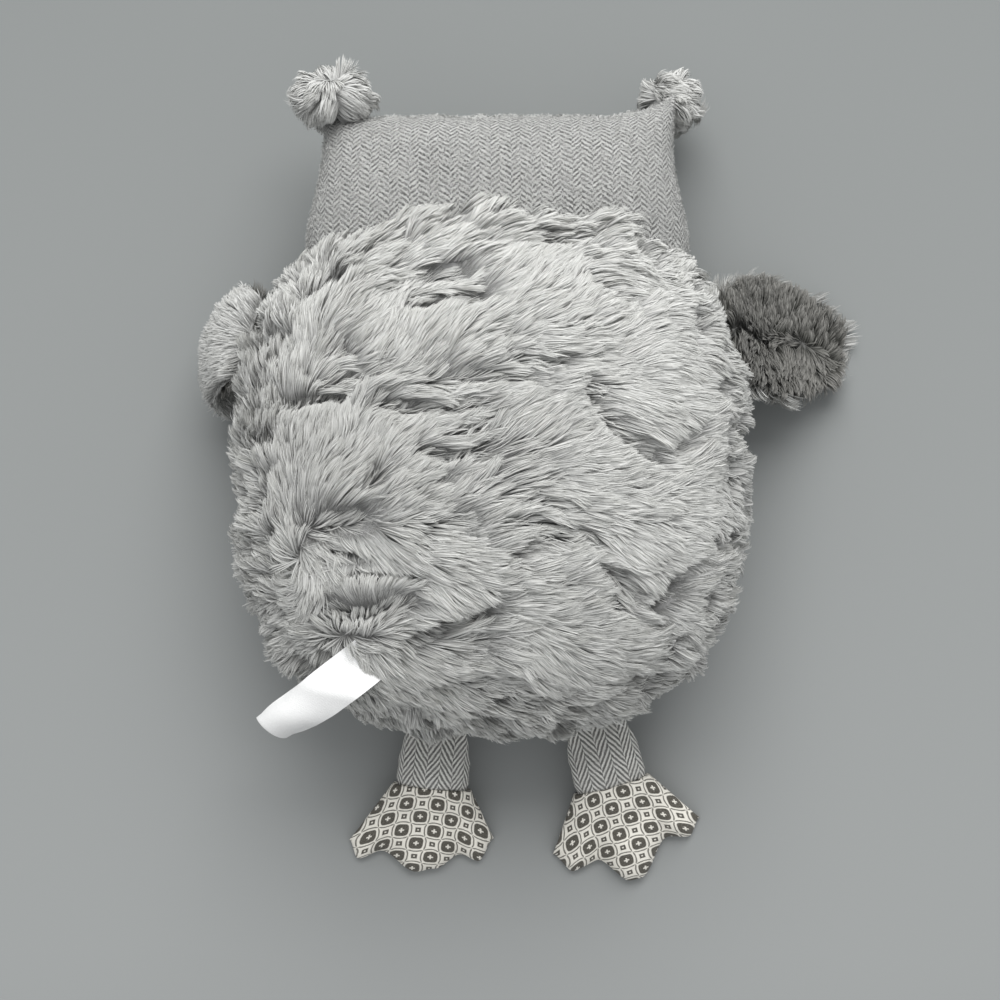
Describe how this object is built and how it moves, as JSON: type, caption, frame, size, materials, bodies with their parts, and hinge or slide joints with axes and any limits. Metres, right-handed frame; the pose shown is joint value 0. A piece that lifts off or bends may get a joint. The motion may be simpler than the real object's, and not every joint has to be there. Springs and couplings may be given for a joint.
{
  "type": "plush owl",
  "caption": "Stuffed plush owl with a long-fur back, tweed head and legs, floppy wings and ear tufts, and flat three-toed cloth feet, lying face down.",
  "frame": {"origin": "middle of the flat patch on which the belly rests", "axes": "+Z out of the owl's back, +Y from its feet to its head, +X to the right of someone who looks down on the back"},
  "size_m": [0.3748, 0.4705, 0.1521],
  "materials": {
    "light_fur": "long brushed pile, matt with a soft sheen",
    "tweed": "woven herringbone, matt",
    "leg_tweed": "woven herringbone, matt, darker",
    "wing_lining": "short brushed pile, matt, taupe grey",
    "lattice_cloth": "woven lattice of cream on taupe, matt",
    "white_satin": "satin ribbon, soft sheen",
    "cream_felt": "felt, matt",
    "dark_felt": "felt, matt",
    "black_plastic": "moulded, glossy",
    "white_plastic": "moulded, satin",
    "fibre_filling": "loose polyester fibre"
  },
  "bodies": {
    "torso": {"body_back_fur": "light_fur", "body_belly": "tweed", "body_filling": "fibre_filling", "head_back": "tweed", "head_face": "tweed", "head_filling": "fibre_filling", "eye_patch_left": "cream_felt", "eye_patch_right": "cream_felt", "eye_left": "black_plastic", "eye_right": "black_plastic", "eye_washer_left": "white_plastic", "eye_washer_right": "white_plastic", "beak": "dark_felt"},
    "left_wing": {"wing_left_fur": "light_fur", "wing_left_lining": "wing_lining"},
    "right_wing": {"wing_right_fur": "light_fur", "wing_right_lining": "wing_lining"},
    "left_leg": {"leg_left": "leg_tweed", "foot_left": "lattice_cloth"},
    "right_leg": {"leg_right": "leg_tweed", "foot_right": "lattice_cloth"},
    "left_ear_tuft": {"ear_tuft_left": "light_fur"},
    "right_ear_tuft": {"ear_tuft_right": "light_fur"},
    "label": {"care_label": "white_satin"}
  },
  "joints": [
    {"name": "left_wing_seam", "type": "hinge", "parent": "torso", "child": "left_wing", "pos_m": [-0.13524, 0.07235, 0.072], "axis": [0.3174, 0.9483, 0], "range_deg": [-5, 110]},
    {"name": "right_wing_seam", "type": "hinge", "parent": "torso", "child": "right_wing", "pos_m": [0.13524, 0.07235, 0.072], "axis": [0.3174, -0.9483, 0], "range_deg": [-5, 130]},
    {"name": "left_hip_seam", "type": "hinge", "parent": "torso", "child": "left_leg", "pos_m": [-0.03109, -0.14075, 0.03341], "axis": [-0.9951, 0.0986, 0], "range_deg": [-70, 65]},
    {"name": "right_hip_seam", "type": "hinge", "parent": "torso", "child": "right_leg", "pos_m": [0.05674, -0.13616, 0.0334], "axis": [-0.9647, -0.2633, 0], "range_deg": [-70, 65]},
    {"name": "left_ear_tuft_seam", "type": "hinge", "parent": "torso", "child": "left_ear_tuft", "pos_m": [-0.09578, 0.19511, 0.05889], "axis": [1, 0, 0], "range_deg": [-95, 0]},
    {"name": "right_ear_tuft_seam", "type": "hinge", "parent": "torso", "child": "right_ear_tuft", "pos_m": [0.10494, 0.20544, 0.05699], "axis": [1, 0, 0], "range_deg": [-20, 95]},
    {"name": "label_seam", "type": "hinge", "parent": "torso", "child": "label", "pos_m": [-0.064, -0.101, 0.13377], "axis": [-0.5592, 0.829, 0], "range_deg": [-5, 140]}
  ]
}
